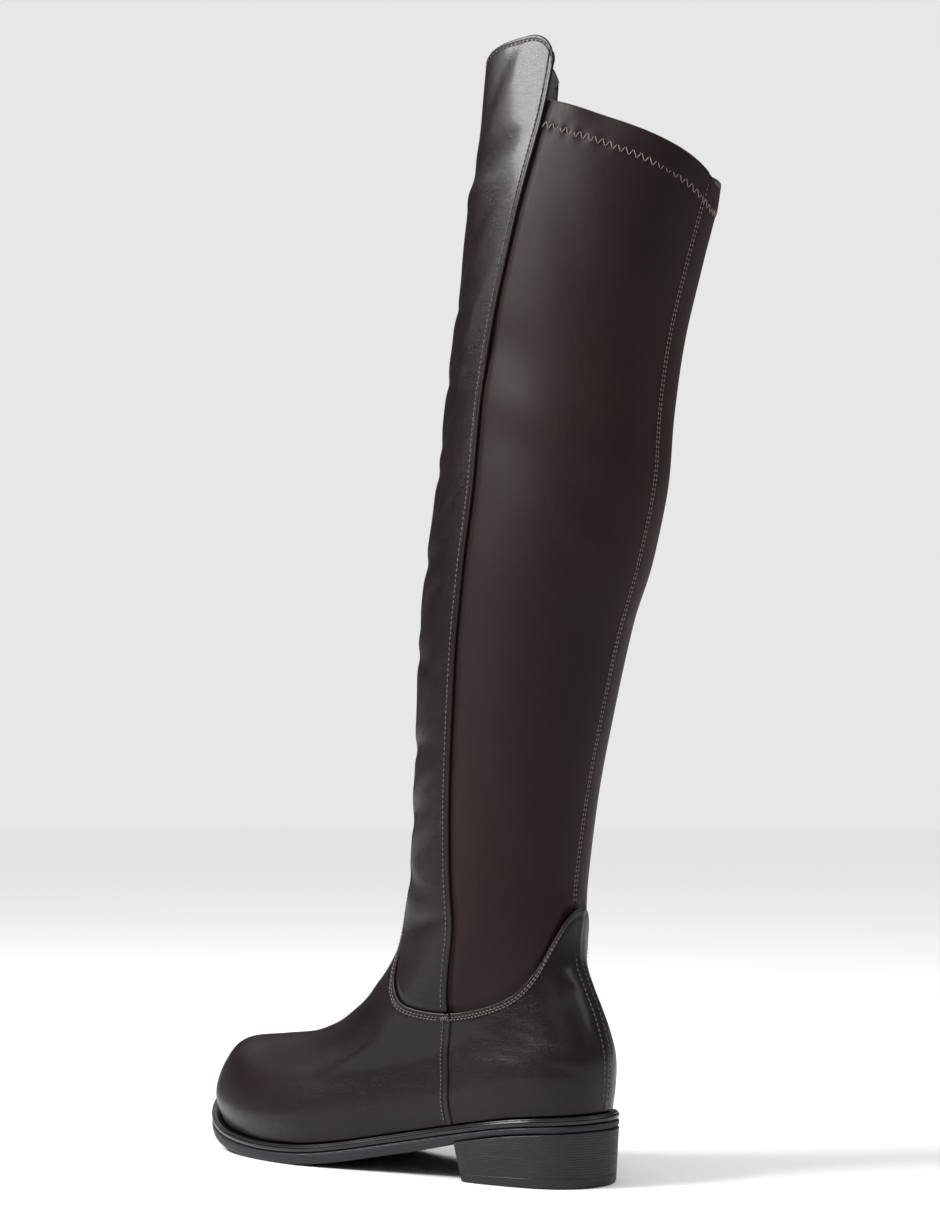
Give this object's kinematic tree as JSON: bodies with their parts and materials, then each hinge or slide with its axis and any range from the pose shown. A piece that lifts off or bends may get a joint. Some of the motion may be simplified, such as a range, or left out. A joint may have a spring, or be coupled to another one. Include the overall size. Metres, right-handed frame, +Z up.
{
  "type": "knee-high boot",
  "caption": "Left over-the-calf riding boot: leather foot and shin panel with a raised tab, stretch fabric shaft, inner side zip, welted rubber sole and low block heel.",
  "frame": {"origin": "on the heel's flat base, near its middle, on the floor", "axes": "+X to the toe, +Y to the wearer's left, which is the outer side of this left boot, +Z up the shaft"},
  "size_m": [0.3123, 0.093, 0.5666],
  "materials": {
    "leather": "smooth dark brown leather with a soft shine",
    "stretch": "dark brown stretch satin",
    "rubber": "smooth black rubber",
    "lining": "grey-brown lining",
    "tape": "black woven zip tape and coil",
    "gunmetal": "polished gunmetal"
  },
  "bodies": {
    "boot": {"upper": "leather", "shin_panel": "leather", "stretch_shaft": "stretch", "zip_tape": "tape", "zip_chain": "tape", "zip_slider": "gunmetal", "welt": "rubber", "outsole": "rubber", "heel": "rubber", "insole": "lining"},
    "pull": {"zip_pull": "gunmetal"}
  },
  "joints": [
    {"name": "zip_pull_swing", "type": "hinge", "parent": "boot", "child": "pull", "pos_m": [0.00467, -0.02461, 0.52175], "axis": [-0.7511, -0.6509, -0.1104], "range_deg": [0, 150]}
  ]
}
